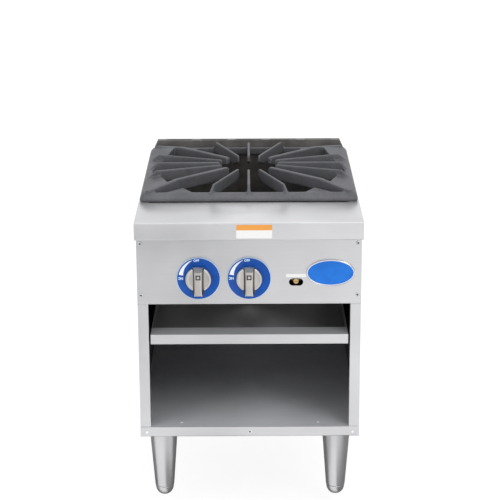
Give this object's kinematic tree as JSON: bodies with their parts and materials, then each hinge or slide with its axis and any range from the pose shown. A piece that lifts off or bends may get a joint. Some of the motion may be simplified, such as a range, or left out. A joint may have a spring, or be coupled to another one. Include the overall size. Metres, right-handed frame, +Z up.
{
  "type": "commercial stock pot gas range",
  "caption": "Free-standing stainless gas range for a stock pot: cast iron grate over a double-ring burner, gas controls, pull-out drip tray and open storage bay on adjustable legs.",
  "frame": {"origin": "on the floor, under the middle of the range", "axes": "+X to the right seen from the front, +Y to the back, +Z up"},
  "size_m": [0.457, 0.6306, 0.674],
  "materials": {
    "stainless": "brushed",
    "dark_steel": "dull, heat-darkened",
    "cast_iron": "rough casting",
    "black_iron": "black oxide",
    "brass": "machined",
    "knob_metal": "satin",
    "pilot_line": "drawn tube",
    "blue_enamel": "gloss enamel",
    "label": "printed film"
  },
  "bodies": {
    "cabinet": {"side_panel_left": "stainless", "side_panel_right": "stainless", "base_shelf": "stainless", "back_panel": "stainless", "control_panel": "stainless", "front_rail": "stainless", "flue_riser": "dark_steel", "heat_shield_left": "dark_steel", "heat_shield_right": "dark_steel", "rear_heat_shield": "dark_steel", "firewall": "dark_steel", "outer_burner": "cast_iron", "inner_burner": "cast_iron", "burner_support_front": "black_iron", "burner_support_middle": "black_iron", "burner_support_rear": "black_iron", "manifold_pipe": "black_iron", "manifold_cap": "black_iron", "supply_elbow": "black_iron", "supply_pipe": "black_iron", "gas_valve_left": "brass", "gas_valve_right": "brass", "orifice_left": "brass", "orifice_right": "brass", "bezel_left": "blue_enamel", "bezel_right": "blue_enamel", "pilot_valve": "brass", "pilot_tube": "pilot_line", "pilot_burner": "dark_steel", "tray_runner_left": "dark_steel", "tray_runner_right": "dark_steel", "badge_plate": "blue_enamel", "rail_label": "label", "pilot_label": "label", "leg_front_left": "stainless", "leg_plate_front_left": "dark_steel", "leg_front_right": "stainless", "leg_plate_front_right": "dark_steel", "leg_rear_left": "stainless", "leg_plate_rear_left": "dark_steel", "leg_rear_right": "stainless", "leg_plate_rear_right": "dark_steel", "panel_screw_upper_left": "stainless", "panel_screw_upper_right": "stainless", "panel_screw_lower_left": "stainless", "panel_screw_lower_right": "stainless"},
    "left_knob": {"knob_left": "knob_metal", "valve_stem_left": "brass"},
    "right_knob": {"knob_right": "knob_metal", "valve_stem_right": "brass"},
    "left_shutter": {"air_shutter_left": "dark_steel"},
    "right_shutter": {"air_shutter_right": "dark_steel"},
    "tray": {"drip_tray": "stainless"},
    "grate": {"top_grate": "cast_iron"},
    "front_left_foot": {"foot_front_left": "stainless"},
    "front_right_foot": {"foot_front_right": "stainless"},
    "rear_left_foot": {"foot_rear_left": "stainless"},
    "rear_right_foot": {"foot_rear_right": "stainless"}
  },
  "joints": [
    {"name": "left_knob_turn", "type": "hinge", "parent": "cabinet", "child": "left_knob", "pos_m": [-0.103, -0.261, 0.51], "axis": [0, -1, 0], "range_deg": [0, 90]},
    {"name": "right_knob_turn", "type": "hinge", "parent": "cabinet", "child": "right_knob", "pos_m": [0, -0.261, 0.51], "axis": [0, -1, 0], "range_deg": [0, 90]},
    {"name": "left_shutter_turn", "type": "hinge", "parent": "cabinet", "child": "left_shutter", "pos_m": [-0.103, -0.184, 0.51], "axis": [0, -1, 0], "range_deg": [0, 45]},
    {"name": "right_shutter_turn", "type": "hinge", "parent": "cabinet", "child": "right_shutter", "pos_m": [0, -0.184, 0.51], "axis": [0, -1, 0], "range_deg": [0, 45]},
    {"name": "tray_slide", "type": "slide", "parent": "cabinet", "child": "tray", "axis": [0, -1, 0], "range_m": [0, 0.4]},
    {"name": "grate_lift", "type": "slide", "parent": "cabinet", "child": "grate", "axis": [0, 0, 1], "range_m": [0, 0.1]},
    {"name": "front_left_foot_screw", "type": "slide", "parent": "cabinet", "child": "front_left_foot", "axis": [0, 0, -1], "range_m": [0, 0.025]},
    {"name": "front_right_foot_screw", "type": "slide", "parent": "cabinet", "child": "front_right_foot", "axis": [0, 0, -1], "range_m": [0, 0.025]},
    {"name": "rear_left_foot_screw", "type": "slide", "parent": "cabinet", "child": "rear_left_foot", "axis": [0, 0, -1], "range_m": [0, 0.025]},
    {"name": "rear_right_foot_screw", "type": "slide", "parent": "cabinet", "child": "rear_right_foot", "axis": [0, 0, -1], "range_m": [0, 0.025]}
  ]
}
